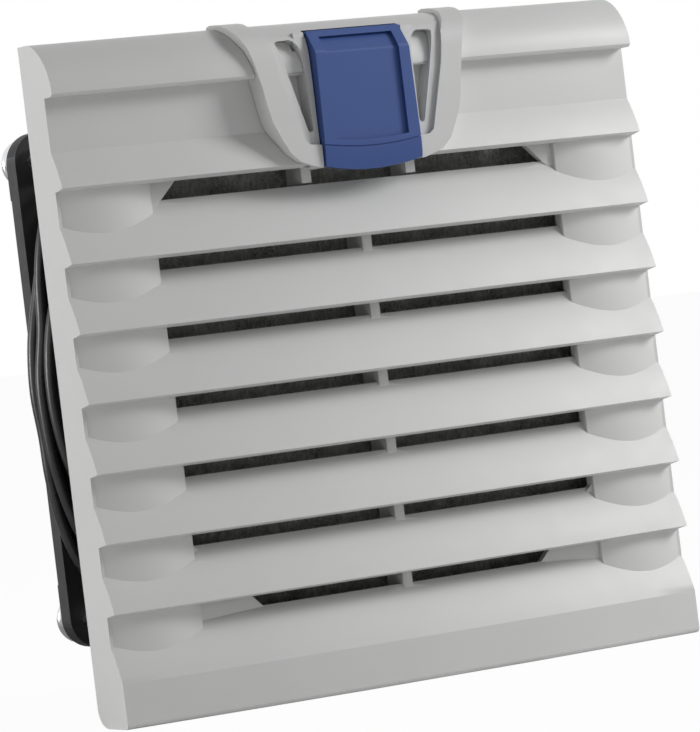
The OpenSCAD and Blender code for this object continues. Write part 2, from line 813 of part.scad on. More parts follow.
module barbs() {
    collar_sides() for (sx = [-1, 1]) translate([sx * tongue_x - tongue_w / 2, 0, 0])
        along_x(0, tongue_w) polygon([
            [-collar_len, collar_half - over], [-collar_len, collar_half],
            [barb_len - collar_len, collar_half + barb_rise], [barb_len - collar_len, collar_half - over]
        ]);
}

module tongue_slots() {
    collar_sides() for (sx = [-1, 1]) translate([sx * tongue_x, 0, 0]) {
        for (s = [-1, 1]) translate([s * (tongue_w + tongue_slot) / 2, 0, 0])
            slab([-tongue_slot / 2, seal_t / 2, pocket_half - tongue_slot],
                 [tongue_slot / 2, collar_len + over, collar_half + over]);
        slab([-tongue_w / 2 - tongue_slot, seal_t / 2, pocket_half - tongue_slot],
             [tongue_w / 2 + tongue_slot, collar_len + over, pocket_half]);
    }
}

module frame_ears() {
    both_sides() for (x = [lug_x - lug_w / 2 - lug_gap - ear_t, ear_x]) along_x(x, x + ear_t) {
        translate([-hinge_y, hinge_z]) circle(ear_r, $fn = round_fn);
        polygon([[-hinge_y - ear_r, hinge_z], [-hinge_y + ear_r, hinge_z],
            [-flange_front, flange_foot + 3 * ear_t], [-flange_rear, flange_foot + 3 * ear_t],
            [-flange_rear, flange_foot]]);
    }
}

module frame_catch() {
    x_out = cheek_in + cheek_t;
    slab([-x_out, catch_rear - catch_t, catch_foot], [x_out, catch_rear, catch_top]);
    both_sides() slab([cheek_in, catch_rear - catch_t, catch_foot - 1.5], [x_out, flange_rear, catch_top]);
}

module mounting_frame() {
    top = frame_half;
    color(pale_grey) difference() {
        union() {
            along_y(flange_front, flange_rear) translate([0, (top + flange_foot) / 2])
                round_square(2 * frame_half, top - flange_foot, flange_corner);
            square_ring(flange_front, collar_len, collar_half, pocket_half - over, 2);
            frame_ears();
            frame_catch();
            barbs();
        }
        translate([0, 0, collar_z]) slab([-pocket_half, flange_front - over, -pocket_half],
            [pocket_half, collar_len - back_wall, pocket_half]);
        tongue_slots();
        at_screw_holes() rod_y(0, collar_len + over, screw_r + run_gap);
        translate([0, hinge_y, hinge_z]) both_sides() rod_x(0, half, hinge_pin_r + run_gap);
    }
    color(pale_grey) difference() {
        translate([0, 0, collar_z]) slab([-pocket_half - over, collar_len - back_wall, -pocket_half - over],
            [pocket_half + over, collar_len, pocket_half + over]);
        translate([0, 0, collar_z]) rod_y(0, far, aperture_r);
        tongue_slots();
        at_screw_holes() rod_y(0, collar_len + over, screw_r + run_gap);
    }
}

module panel_seal() {
    color(rubber_grey) square_ring(flange_rear, 0, seal_half + seal_w, seal_half, flange_corner);
}

module filter_mat() {
    color(mat_grey) along_y(mat_front, mat_rear) translate([0, collar_z])
        round_square(mat_size, mat_size, mat_corner);
}

// Fan

module fan_flange(y_low, y_high) {
    along_y(y_low, y_high) translate([0, fan_z]) round_square(fan_size, fan_size, fan_corner);
}

module motor_struts() {
    translate([0, 0, fan_z]) for (a = [45:90:315]) rotate([0, a, 0])
        slab([motor_plate_r - over, plate_front, -strut_w / 2], [barrel_r + barrel_wall / 2, fan_end, strut_w / 2]);
}

module fan_frame() {
    out_r = barrel_r + barrel_wall;
    color(fan_black) difference() {
        union() {
            difference() {
                union() {
                    fan_flange(fan_y, groove_front);
                    fan_flange(groove_rear, fan_end);
                    translate([0, 0, fan_z]) rod_y(fan_y, fan_end, out_r);
                    for (sx = [-1, 1], sz = [-1, 1]) intersection() {
                        fan_flange(fan_end - over, pad_face);
                        translate([sx * (fan_size - pad_size) / 2, 0, fan_z + sz * (fan_size - pad_size) / 2])
                            slab([-pad_size / 2, 0, -pad_size / 2], [pad_size / 2, far, pad_size / 2]);
                    }
                }
                translate([0, 0, fan_z]) rod_y(fan_y - over, far, barrel_r);
            }
            motor_struts();
            translate([0, 0, fan_z]) rod_y(plate_front, fan_end, motor_plate_r);
            translate([0, 0, fan_z]) rod_y(tube_front, fan_end, tube_out);
        }
        translate([0, 0, fan_z]) rod_y(tube_front - over, fan_end - tube_floor, tube_in);
        at_screw_holes() rod_y(fan_y - over, far, fan_hole_r);
        translate([0, 0, fan_z]) rotate([0, -grommet_a, 0])
            slab([barrel_r - barrel_wall, lead_y - 2.5 * lead_pitch, -grommet_w / 4],
                 [out_r + over, lead_y, grommet_w / 4]);
    }
}

module screw(y_head, dir, length, head_r, head_h) {
    socket_r = head_r * socket_r_share;
    difference() {
        union() {
            rod_y(min(y_head, y_head - dir * length), max(y_head, y_head - dir * length), screw_r);
            rod_y(min(y_head, y_head + dir * head_h), max(y_head, y_head + dir * head_h), head_r);
        }
        rotate([-90, 0, 0]) translate([0, 0, y_head + dir * head_h - (dir > 0 ? head_h / 2 : 0)])
            cylinder(head_h / 2, r = socket_r, $fn = round_fn);
    }
}

module fan_screws() {
    color(steel) at_screw_holes() screw(groove_front, 1, fan_flange_t + screw_grip, screw_head_r, screw_head_h);
}

// Four poles with shoes, on a round yoke
module stator_core() {
    color(steel) translate([0, 0, fan_z]) difference() {
        intersection() {
            union() {
                rod_y(core_front, core_front + core_len, yoke_r);
                for (a = [0, 90]) rotate([0, a, 0]) {
                    slab([-stator_r, core_front, -pole_half / 2], [stator_r, core_front + core_len, pole_half / 2]);
                    for (s = [-1, 1]) slab([min(s * stator_r, s * (stator_r - pole_shoe)), core_front, -pole_half * 1.5],
                        [max(s * stator_r, s * (stator_r - pole_shoe)), core_front + core_len, pole_half * 1.5]);
                }
            }
            rod_y(core_front, core_front + core_len, stator_r);
        }
        rod_y(core_front - over, core_front + core_len + over, tube_out + 0.02);
    }
}

// One coil round each pole, between the yoke and the shoe
module stator_windings() {
    y_mid = core_front + core_len / 2;
    color(copper) translate([0, 0, fan_z]) for (a = [0:90:270]) rotate([0, a, 0]) difference() {
        slab([yoke_r + coil_gap, y_mid - coil_len / 2, -pole_half / 2 - coil_t],
             [stator_r - pole_shoe - coil_gap, y_mid + coil_len / 2, pole_half / 2 + coil_t]);
        slab([0, core_front - coil_gap, -pole_half / 2 - coil_gap],
             [far, core_front + core_len + coil_gap, pole_half / 2 + coil_gap]);
    }
}

module bearing(y_low) {
    mid = (bearing_r + shaft_r) / 2;
    color(steel) translate([0, 0, fan_z]) difference() {
        rod_y(y_low, y_low + bearing_len, bearing_r);
        rod_y(y_low - over, y_low + bearing_len + over, shaft_r + run_gap);
        for (y = [y_low, y_low + bearing_len]) difference() {
            rod_y(y - oil_groove, y + oil_groove, mid + 2 * oil_groove);
            rod_y(y - over, y + over, mid - 2 * oil_groove);
        }
    }
}

module front_bearing() {
    bearing(tube_front + 1);
}

module rear_bearing() {
    bearing(shaft_end - bearing_len - 3);
}

module rotor_shaft() {
    color(steel) translate([0, 0, fan_z]) difference() {
        rod_y(cup_front, shaft_end, shaft_r);
        difference() {
            rod_y(shaft_end - 2 - circlip_t, shaft_end - 2, shaft_r + over);
            rod_y(shaft_end - 2 - 2 * circlip_t, shaft_end, shaft_r - groove_deep);
        }
    }
}

module shaft_circlip() {
    y_low = shaft_end - 2 - circlip_t + run_gap;
    color(steel) translate([0, 0, fan_z]) difference() {
        rod_y(y_low, y_low + circlip_t - 2 * run_gap, shaft_r + circlip_w);
        rod_y(y_low - over, y_low + circlip_t + over, shaft_r - groove_deep + run_gap);
        slab([-shaft_r * 0.6, y_low - over, 0], [shaft_r * 0.6, y_low + circlip_t + over, far]);
    }
}

// A steel cup with a boss on the shaft
module rotor_cup() {
    boss_r = shaft_r + 2.5;
    color(steel) translate([0, 0, fan_z]) difference() {
        rod_y(cup_front, cup_rear, cup_r);
        difference() {
            rod_y(cup_front + cup_face, cup_rear + over, cup_r - cup_wall);
            rod_y(cup_front, cup_front + 2 * cup_face, boss_r);
        }
        rod_y(cup_front - over, cup_rear, shaft_r + 0.01);
        for (k = [0:vent_count - 1]) rotate([0, 360 * k / vent_count, 0]) translate([(cup_r + boss_r) / 2, 0, 0])
            rod_y(cup_front - over, cup_front + 2 * cup_face, hub_vent_r);
    }
}

// One blade, curved in section and straight along its radius
module fan_blade() {
    depth = blade_rear - blade_front;
    chord = norm([depth, blade_span]);
    reach = sqrt(pow(blade_curve_r, 2) - pow(chord / 2, 2));
    c_y = (blade_front + blade_rear) / 2 - reach * blade_span / chord;
    c_z = reach * depth / chord;
    intersection() {
        translate([0, c_y, c_z]) difference() {
            rod_x(hub_r - over, blade_tip_r + over, blade_curve_r + blade_t / 2);
            rod_x(0, far, blade_curve_r - blade_t / 2);
        }
        slab([0, blade_front, -blade_span / 2 - blade_t], [far, blade_rear, blade_span / 2 + blade_t]);
    }
}

module impeller() {
    color(fan_black) translate([0, 0, fan_z]) {
        difference() {
            union() {
                difference() {
                    rod_y(cup_front + over, cup_rear - over, hub_r);
                    rod_y(0, far, cup_r + 0.01);
                }
                intersection() {
                    for (k = [0:blade_count - 1]) rotate([0, 360 * k / blade_count, 0]) fan_blade();
                    difference() {
                        rod_y(blade_front - over, blade_rear + over, blade_tip_r);
                        rod_y(0, far, hub_r - over);
                    }
                }
            }
        }
    }
}

// Finger guard

// A straight leg that ends in the loop round a screw
module guard_leg() {
    translate([leg_in_r, loop_y, 0]) rotate([0, 90, 0])
        cylinder(loop_reach - leg_in_r, r = wire_r, $fn = 32);
    translate([loop_reach + loop_r, loop_y, 0]) rotate([-90, 0, 0])
        rotate_extrude($fn = round_fn) translate([loop_r, 0]) circle(wire_r + loop_swell, $fn = 32);
}

module finger_guard() {
    ring_y = loop_y + 2 * wire_r - weld;
    color(steel) translate([0, 0, fan_z]) {
        for (a = [45:90:315]) rotate([0, a, 0]) guard_leg();
        for (k = [1:ring_count]) translate([0, ring_y, 0]) rotate([-90, 0, 0])
            rotate_extrude($fn = 128) translate([ring_r * k / ring_count, 0]) circle(wire_r, $fn = 32);
    }
}

module guard_screws() {
    y_head = loop_y + wire_r + loop_swell;
    color(steel) at_screw_holes()
        screw(y_head, 1, y_head - groove_rear + nut_h + thread_past, guard_head_r, guard_head_h);
}

module guard_nuts() {
    color(steel) at_screw_holes() difference() {
        translate([0, groove_rear - nut_h, 0]) rotate([-90, 0, 0]) cylinder(nut_h, r = nut_r, $fn = 6);
        rod_y(groove_rear - nut_h - over, groove_rear + over, screw_r + run_gap);
    }
}

module guard_spacers() {
    color(rubber_grey) at_screw_holes() difference() {
        rod_y(pad_face, pad_face + spacer_len, spacer_r);
        rod_y(pad_face - over, pad_face + spacer_len + over, screw_r + run_gap);
    }
}

// Leads

// A tube with flat ends, swept along a route
function route_dir(p, i) = let (d = p[min(i + 1, len(p) - 1)] - p[max(i - 1, 0)]) d / norm(d);
module swept_tube(route, r, sides) {
    n = len(route);
    rings = [for (i = [0:n - 1]) let (t = route_dir(route, i), v = [0, 1, 0], u = cross(t, v) / norm(cross(t, v)))
        for (k = [0:sides - 1]) route[i] + r * (cos(360 * k / sides) * u + sin(360 * k / sides) * v)];
    walls = [for (i = [0:n - 2], k = [0:sides - 1]) let (a = i * sides + k, b = i * sides + (k + 1) % sides)
        for (f = [[a, b, b + sides], [a, b + sides, a + sides]]) f];
    cap_a = [for (k = [1:sides - 2]) [0, k + 1, k]];
    cap_b = [for (k = [1:sides - 2]) [(n - 1) * sides, (n - 1) * sides + k, (n - 1) * sides + k + 1]];
    polyhedron(points = rings, faces = concat(walls, cap_a, cap_b), convexity = 6);
}

function hug(angles) = [for (a = angles) [lead_hug * cos(a), fan_z + lead_hug * sin(a)]];
function at_depth(p, y) = [for (q = p) [q[0], y, q[1]]];
route_a = at_depth(concat(hug(upper_arc), slack_a, hug(lower_arc)), lead_y - lead_pitch);
route_b = at_depth(concat(hug(upper_arc), slack_b, hug(lower_arc)), lead_y);
route_c = at_depth(hug(whole_arc), lead_y - 2 * lead_pitch);

module lead_a() {
    color(fan_black) swept_tube(route_a, lead_r, lead_sides);
}

module lead_b() {
    color(fan_black) swept_tube(route_b, lead_r, lead_sides);
}

module lead_c() {
    color(fan_black) swept_tube(route_c, lead_r, lead_sides);
}

module lead_grommet() {
    y_low = lead_y - 2 * lead_pitch - lead_d;
    color(rubber_grey) translate([0, 0, fan_z]) rotate([0, -grommet_a, 0]) {
        slab([barrel_r + barrel_wall + 0.1, y_low, -grommet_w / 2], [grommet_out, groove_rear - 0.05, grommet_w / 2]);
        slab([grommet_in, lead_y - 2.5 * lead_pitch + 0.1, -grommet_w / 4 + 0.1],
             [grommet_out, lead_y - 0.1, grommet_w / 4 - 0.1]);
    }
}

// A crimped sleeve on each lead's end, in line with it
module lead_ferrules() {
    color(steel) for (route = [route_a, route_b, route_c]) {
        end = route[len(route) - 1];
        t = route_dir(route, len(route) - 1);
        translate(end) rotate([0, -atan2(t[2], t[0]), 0]) {
            rod_x(0, ferrule_collar, lead_r);
            rod_x(ferrule_collar - over, ferrule_collar + ferrule_len, ferrule_r);
        }
    }
}

mounting_frame();
panel_seal();
filter_mat();
louvre_grille();
hinge_pins();
latch_bracket();
latch_clip();
latch_pins();
latch_spring();
fan_frame();
fan_screws();
stator_core();
stator_windings();
front_bearing();
rear_bearing();
impeller();
rotor_cup();
rotor_shaft();
shaft_circlip();
finger_guard();
guard_screws();
guard_nuts();
guard_spacers();
lead_grommet();
lead_a();
lead_b();
lead_c();
lead_ferrules();
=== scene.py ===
"""Enclosure filter fan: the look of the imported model, in metres and in the row's frame."""
import json
import math

import bmesh
import bpy
import numpy as np
from mathutils import Matrix, Vector


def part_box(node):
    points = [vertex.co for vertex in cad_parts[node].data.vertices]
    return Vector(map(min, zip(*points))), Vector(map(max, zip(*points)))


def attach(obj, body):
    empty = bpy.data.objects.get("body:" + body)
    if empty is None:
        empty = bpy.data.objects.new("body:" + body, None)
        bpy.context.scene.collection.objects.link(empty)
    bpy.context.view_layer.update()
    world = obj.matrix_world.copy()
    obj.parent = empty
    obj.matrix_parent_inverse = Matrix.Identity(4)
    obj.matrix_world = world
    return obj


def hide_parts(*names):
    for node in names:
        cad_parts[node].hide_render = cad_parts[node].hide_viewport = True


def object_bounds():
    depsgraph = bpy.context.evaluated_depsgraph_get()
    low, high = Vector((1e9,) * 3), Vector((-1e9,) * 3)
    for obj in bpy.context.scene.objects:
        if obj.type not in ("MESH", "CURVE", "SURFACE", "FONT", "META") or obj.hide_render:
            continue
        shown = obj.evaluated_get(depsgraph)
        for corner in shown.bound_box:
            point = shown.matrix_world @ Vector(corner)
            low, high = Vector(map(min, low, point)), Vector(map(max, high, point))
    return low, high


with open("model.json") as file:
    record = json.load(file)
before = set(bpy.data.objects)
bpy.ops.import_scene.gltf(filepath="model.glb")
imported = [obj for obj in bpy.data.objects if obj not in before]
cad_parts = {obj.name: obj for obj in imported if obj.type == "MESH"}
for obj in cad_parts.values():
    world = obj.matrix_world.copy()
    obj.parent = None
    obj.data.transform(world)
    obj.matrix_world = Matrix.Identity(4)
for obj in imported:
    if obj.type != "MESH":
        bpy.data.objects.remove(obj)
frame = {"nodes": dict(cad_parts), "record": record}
cad_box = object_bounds()
NODES = frame["nodes"]
BODY = {n: b for b, names in frame["record"]["behaviour"]["bodies"].items() for n in names}
SLOT = {s["node"]: s["material_slot"] for s in frame["record"]["subparts"]}

MM = 0.001
WHITE = (1, 1, 1, 1)


def add_object(name, data):
    obj = bpy.data.objects.new(name, data)
    bpy.context.collection.objects.link(obj)
    return obj


# Camera, solved from the bezel's corners and the folds' ends in the photograph
LENS = 206.24
PLACE = (-0.46604, -0.82086, 0.00847)
FORWARD = (0.4924248, 0.87026723, -0.01235942)
UP = (0.11032638, -0.04832769, 0.99271976)


def make_camera():
    data = bpy.data.cameras.new("camera")
    data.sensor_fit = "AUTO"
    data.sensor_width = 36.0
    data.lens = LENS
    data.clip_end = 50.0
    forward = Vector(FORWARD).normalized()
    right = forward.cross(Vector(UP)).normalized()
    turn = Matrix((right, right.cross(forward), -forward)).transposed().to_4x4()
    camera = add_object("camera", data)
    camera.matrix_world = Matrix.Translation(PLACE) @ turn
    bpy.context.scene.camera = camera


# One material's node tree, with short calls for its textures
class Tree:
    def __init__(self, name):
        self.mat = bpy.data.materials.new(name)
        self.mat.use_nodes = True
        self.nodes = self.mat.node_tree.nodes
        self.links = self.mat.node_tree.links
        self.bsdf = self.nodes["Principled BSDF"]
        self.where = self.add("ShaderNodeTexCoord").outputs["Object"]

    def add(self, kind, **values):
        n = self.nodes.new(kind)
        for k, v in values.items():
            setattr(n, k, v)
        return n

    def put(self, socket, value):
        if isinstance(value, bpy.types.NodeSocket):
            self.links.new(value, socket)
        else:
            socket.default_value = value

    def stretched(self, stretch):
        if not stretch:
            return self.where
        n = self.add("ShaderNodeMapping")
        self.put(n.inputs["Vector"], self.where)
        n.inputs["Scale"].default_value = stretch
        return n.outputs["Vector"]

    def noise(self, scale, detail=3.0, rough=0.5, stretch=None):
        n = self.add("ShaderNodeTexNoise")
        self.put(n.inputs["Vector"], self.stretched(stretch))
        n.inputs["Scale"].default_value = scale
        n.inputs["Detail"].default_value = detail
        n.inputs["Roughness"].default_value = rough
        return n.outputs["Fac"]

    def cells(self, scale):
        n = self.add("ShaderNodeTexVoronoi")
        self.put(n.inputs["Vector"], self.where)
        n.inputs["Scale"].default_value = scale
        return n.outputs["Distance"]

    def ramp(self, fac, low, high, low_at=0.0, high_at=1.0):
        n = self.add("ShaderNodeValToRGB")
        self.put(n.inputs["Fac"], fac)
        a, b = n.color_ramp.elements
        a.position, b.position = low_at, high_at
        a.color, b.color = (*low, 1.0), (*high, 1.0)
        return n.outputs["Color"]

    def mottle(self, fac, color, dark, light):
        """Shades of a colour over the middle part of a noise."""
        return self.ramp(fac, tint(color, dark), tint(color, light), 0.35, 0.65)

    def span(self, fac, low, high):
        """A value from low to high over the range that a noise mostly has."""
        n = self.add("ShaderNodeMapRange")
        self.put(n.inputs["Value"], fac)
        n.inputs["From Min"].default_value = 0.3
        n.inputs["From Max"].default_value = 0.7
        n.inputs["To Min"].default_value = low
        n.inputs["To Max"].default_value = high
        return n.outputs["Result"]

    def bump(self, height, distance, strength, under=None):
        n = self.add("ShaderNodeBump")
        self.put(n.inputs["Height"], height)
        n.inputs["Distance"].default_value = distance
        n.inputs["Strength"].default_value = strength
        if under:
            self.put(n.inputs["Normal"], under)
        return n.outputs["Normal"]

    def rounded(self, radius):
        n = self.add("ShaderNodeBevel", samples=6)
        n.inputs["Radius"].default_value = radius
        return n.outputs["Normal"]

    def surface(self, color, rough, normal=None, **sockets):
        self.put(self.bsdf.inputs["Base Color"], color)
        self.put(self.bsdf.inputs["Roughness"], rough)
        if normal:
            self.put(self.bsdf.inputs["Normal"], normal)
        for name, value in sockets.items():
            self.put(self.bsdf.inputs[name.replace("_", " ")], value)
        return self.mat


def tint(color, share):
    return tuple(min(1.0, c * share) for c in color)


# Materials; grain and edge are in millimetres
def moulded(name, color, rough, grain=0.02, edge=0.0):
    t = Tree(name)
    base = t.mottle(t.noise(28, 2), color, 0.985, 1.015)
    gloss = t.span(t.noise(160, 3), rough - 0.03, rough + 0.04)
    normal = t.bump(t.noise(2600, 2, 0.6), grain * MM, 0.5, t.rounded(edge * MM) if edge else None)
    return t.surface(base, gloss, normal, Specular_IOR_Level=0.4)


def painted(name, color, rough, grain=0.02):
    t = Tree(name)
    base = t.mottle(t.noise(60, 3), color, 0.85, 1.2)
    gloss = t.span(t.noise(400, 3), rough - 0.06, rough + 0.08)
    normal = t.bump(t.noise(1500, 3, 0.6), grain * MM, 0.7, t.rounded(0.2 * MM))
    return t.surface(base, gloss, normal, Specular_IOR_Level=0.5)


def metal(name, color, rough, grain=0.004, stretch=(1, 1, 1)):
    t = Tree(name)
    streak = t.noise(900, 3, 0.6, stretch)
    base = t.mottle(t.noise(220, 3), color, 0.93, 1.05)
    gloss = t.span(streak, rough - 0.04, rough + 0.08)
    return t.surface(base, gloss, t.bump(streak, grain * MM, 0.6), Metallic=1.0)


def soft_rubber(name, color, rough=0.6, grain=0.02):
    t = Tree(name)
    base = t.mottle(t.noise(90, 3), color, 0.85, 1.15)
    gloss = t.span(t.noise(500, 3), rough - 0.05, rough + 0.08)
    return t.surface(base, gloss, t.bump(t.noise(1900, 3), grain * MM, 0.7))


def foam(name, color):
    t = Tree(name)
    pores = t.cells(1800)
    base = t.ramp(pores, tint(color, 0.5), tint(color, 1.3), 0.1, 0.6)
    return t.surface(base, 0.9, t.bump(pores, 0.15 * MM, 0.9))


def fibre_mat(name, color):
    t = Tree(name)
    clumps = t.noise(150, 5, 0.65)
    threads = t.noise(1400, 5, 0.7, (1, 1, 0.35))
    mixed = t.add("ShaderNodeMath", operation="MULTIPLY")
    t.put(mixed.inputs[0], clumps)
    t.put(mixed.inputs[1], threads)
    base = t.ramp(mixed.outputs[0], tint(color, 0.35), tint(color, 1.55), 0.12, 0.42)
    return t.surface(base, 0.85, t.bump(threads, 0.35 * MM, 0.9, t.bump(clumps, 1.2 * MM, 0.7)))


def make_materials():
    pale = (0.67, 0.675, 0.665)
    return {
        "frame_plastic": moulded("frame_plastic", tint(pale, 0.95), 0.45, edge=0.25),
        "grille_plastic": moulded("grille_plastic", pale, 0.43),
        "bracket_plastic": moulded("bracket_plastic", tint(pale, 0.98), 0.4, 0.016),
        "clip_plastic": moulded("clip_plastic", (0.042, 0.088, 0.285), 0.45, 0.012),
        "filter_fibre": fibre_mat("filter_fibre", (0.33, 0.335, 0.312)),
        "fibre_strand": soft_rubber("fibre_strand", (0.43, 0.436, 0.41), 0.7, 0.01),
        "seal_foam": foam("seal_foam", (0.03, 0.03, 0.03)),
        "fan_casting": painted("fan_casting", (0.016, 0.016, 0.017), 0.42),
        # The fan's inside faces: the same black paint made darker and rougher, as painted shade in the fan's depth
        "fan_inside_painted_shade": painted("fan_inside_painted_shade", (0.008, 0.008, 0.0085), 0.62),
        "impeller_plastic": painted("impeller_plastic", (0.018, 0.018, 0.019), 0.45, 0.012),
        "rotor_paint": painted("rotor_paint", (0.02, 0.02, 0.02), 0.38),
        "core_steel": metal("core_steel", (0.36, 0.37, 0.39), 0.4, 0.03, (0.2, 6, 0.2)),
        "winding_copper": metal("winding_copper", (0.72, 0.32, 0.14), 0.3, 0.05, (0.3, 2, 0.3)),
        "bearing_steel": metal("bearing_steel", (0.62, 0.63, 0.65), 0.22),
        "guard_chrome": metal("guard_chrome", (0.75, 0.76, 0.78), 0.14, 0.002),
        "screw_steel": metal("screw_steel", (0.66, 0.67, 0.69), 0.26, 0.006),
        "spacer_rubber": soft_rubber("spacer_rubber", (0.02, 0.02, 0.02)),
        "lead_jacket": soft_rubber("lead_jacket", (0.023, 0.023, 0.024), 0.3, 0.004),
    }


MATERIALS = make_materials()


def dress(obj, slot):
    obj.data.materials.clear()
    obj.data.materials.append(MATERIALS[slot])


def dress_nodes():
    for name, obj in NODES.items():
        mat = MATERIALS[SLOT[name]]
        if not obj.material_slots:
            obj.data.materials.append(mat)
        for s in obj.material_slots:
            s.material = mat


# Pieces made from the CAD solids: their faces joined, edges rounded and shading smoothed
JOIN = 0.003 * MM  # points closer than this become one
FLAT = math.radians(0.4)  # faces that meet at less than this become one
SHARP = math.radians(38)  # edges that turn more than this are rounded


def joined_copy(node):
    bm = bmesh.new()
    bm.from_mesh(NODES[node].data)
    bmesh.ops.remove_doubles(bm, verts=bm.verts, dist=JOIN)
    bmesh.ops.dissolve_degenerate(bm, edges=bm.edges, dist=JOIN)
    return bm


def flatten(bm):
    bmesh.ops.dissolve_limit(bm, angle_limit=FLAT, verts=bm.verts, edges=bm.edges, delimit={"NORMAL"})


def settle(bm, node, name, smooth=None):
    mesh = bpy.data.meshes.new(name)
    bm.normal_update()
    bm.to_mesh(mesh)
    bm.free()
    for f in mesh.polygons:
        f.use_smooth = True
    if smooth:
        mesh.set_sharp_from_angle(angle=math.radians(smooth))
    obj = add_object(name, mesh)
    even = obj.modifiers.new("even_normals", "WEIGHTED_NORMAL")
    even.mode = "FACE_AREA"
    even.keep_sharp = True
    dress(obj, SLOT[node])
    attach(obj, BODY[node])
    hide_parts(node)
    return obj


def rounded_copy(node, name, width, crease):
    """Edges rounded by width in millimetres, and shaded as sharp where they turn more than crease degrees."""
    bm = joined_copy(node)
    rolled = set()
    if width:
        flatten(bm)
        sharp = [e for e in bm.edges if e.is_manifold and e.calc_face_angle(0) > SHARP]
        made = bmesh.ops.bevel(bm, geom=sharp, offset=width * MM, segments=2, profile=0.5, affect="EDGES",
                               clamp_overlap=True, offset_type="OFFSET")
        rolled = set(made["faces"])
    for e in bm.edges:
        e.smooth = e.calc_face_angle(0) < math.radians(crease) or any(f in rolled for f in e.link_faces)
    settle(bm, node, name)


# Faces of the grille's end columns: one smooth bulge from the slots' ends to the side wall, in millimetres
def column_faces():
    plate, inner, outer = 10.2, 51.95, 73.9  # plate's depth, slots' end, side wall
    foot, top, nose = -58.5, 42.04, 0.35
    crown, middle, fall = plate + 2.2, 61.3, 0.01387  # bulge's highest depth, its place and its curve

    def front(x):
        return fall * (x - middle) ** 2 - crown

    start = front(inner + nose)
    section = [(inner, -plate + 0.5), (inner, start + nose), (inner + 0.1 * nose, start + 0.45 * nose),
               (inner + 0.4 * nose, start + 0.12 * nose)]
    section += [(x, front(x)) for x in np.linspace(inner + nose, outer, 29)] + [(outer, -plate + 0.5)]
    n = len(section)
    for side, name in ((-1, "column_face_left"), (1, "column_face_right")):
        verts = [(side * x * MM, y * MM, z * MM) for z in (foot, top) for x, y in section]
        faces = [(k, (k + 1) % n, n + (k + 1) % n, n + k) for k in range(n)]
        faces += [tuple(range(n))[::-1], tuple(range(n, 2 * n))]
        if side < 0:
            faces = [f[::-1] for f in faces]
        mesh = bpy.data.meshes.new(name)
        mesh.from_pydata(verts, [], faces)
        for f in mesh.polygons:
            f.use_smooth = True
        mesh.set_sharp_from_angle(angle=math.radians(32))
        obj = add_object(name, mesh)
        dress(obj, "grille_plastic")
        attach(obj, "grille")


# The fan's corner pads come down to 0.4 mm and the spacers reach down to them, in millimetres
FAN_END = 44.5  # rear face of the fan
PAD_FACE = 46.0  # rear face of the solid's pads
PAD = 0.4
FLANGE = 4.3  # thickness of the fan's flanges


def lower_pads():
    bm = joined_copy("fan_frame")
    flatten(bm)
    for v in bm.verts:
        if v.co.y > (FAN_END + 0.1) * MM:
            v.co.y = (FAN_END + PAD) * MM
    body = settle(bm, "fan_frame", "fan_body", 32)
    # Inside faces get the darker copy of the paint, as painted shade; the outer faces and the rear keep the plain
    # paint
    body.data.materials.append(MATERIALS["fan_inside_painted_shade"])
    low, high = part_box("fan_frame")
    mid_x, mid_z, half = (low[0] + high[0]) / 2, (low[2] + high[2]) / 2, (high[0] - low[0]) / 2
    for f in body.data.polygons:
        side = max(abs(f.center.x - mid_x), abs(f.center.z - mid_z))
        outside = side > half - 0.3 * MM or f.center.y > (FAN_END - 0.2) * MM
        f.material_index = 0 if outside else 1
    bm = joined_copy("guard_spacers")
    for v in bm.verts:
        if v.co.y < (PAD_FACE + 0.1) * MM:
            v.co.y = (FAN_END + PAD) * MM
    settle(bm, "guard_spacers", "fan_guard_spacers", 32)


# Leads: smooth round jackets, in millimetres; the slack lies a little nearer to the barrel than in the source
LEAD_R = 1.34
LEAD_PITCH = 2.8
LEAD_REAR = FAN_END - FLANGE - 1.4
ARC_STEP = 11  # degrees between the points on the barrel


def lead_routes():
    hug, mid = 60.1, -0.9  # radius round the barrel and height of its axis
    start = 45 + math.degrees(math.asin(4.3 / hug))  # beside the grommet

    def arc(first, count):
        turns = [math.radians(first + ARC_STEP * k) for k in range(count)]
        return [(hug * math.cos(a), mid + hug * math.sin(a)) for a in turns]

    slack_a = [(-36.4, 49.9), (-46.6, 47.2), (-53.2, 42), (-56.4, 34.4), (-58.3, 24.8), (-59.2, 13.7),
               (-61.1, 2), (-61, -9), (-59.9, -19), (-57.2, -29.9), (-52.9, -39), (-46, -46.2), (-37, -51)]
    slack_b = [(-36.2, 49.2), (-45.6, 45.6), (-51.6, 39.6), (-55.5, 31.2), (-58.1, 21), (-60.6, 10.5),
               (-61.5, -0.5), (-60.7, -11), (-60.3, -20.5), (-58.6, -31.5), (-54.8, -41.5), (-47.2, -48.4),
               (-37.3, -52.4)]
    return {"lead_a": (arc(start, 7) + slack_a + arc(244, 7), LEAD_REAR - LEAD_PITCH),
            "lead_b": (arc(start, 7) + slack_b + arc(244, 7), LEAD_REAR),
            "lead_c": (arc(start, 25), LEAD_REAR - 2 * LEAD_PITCH)}


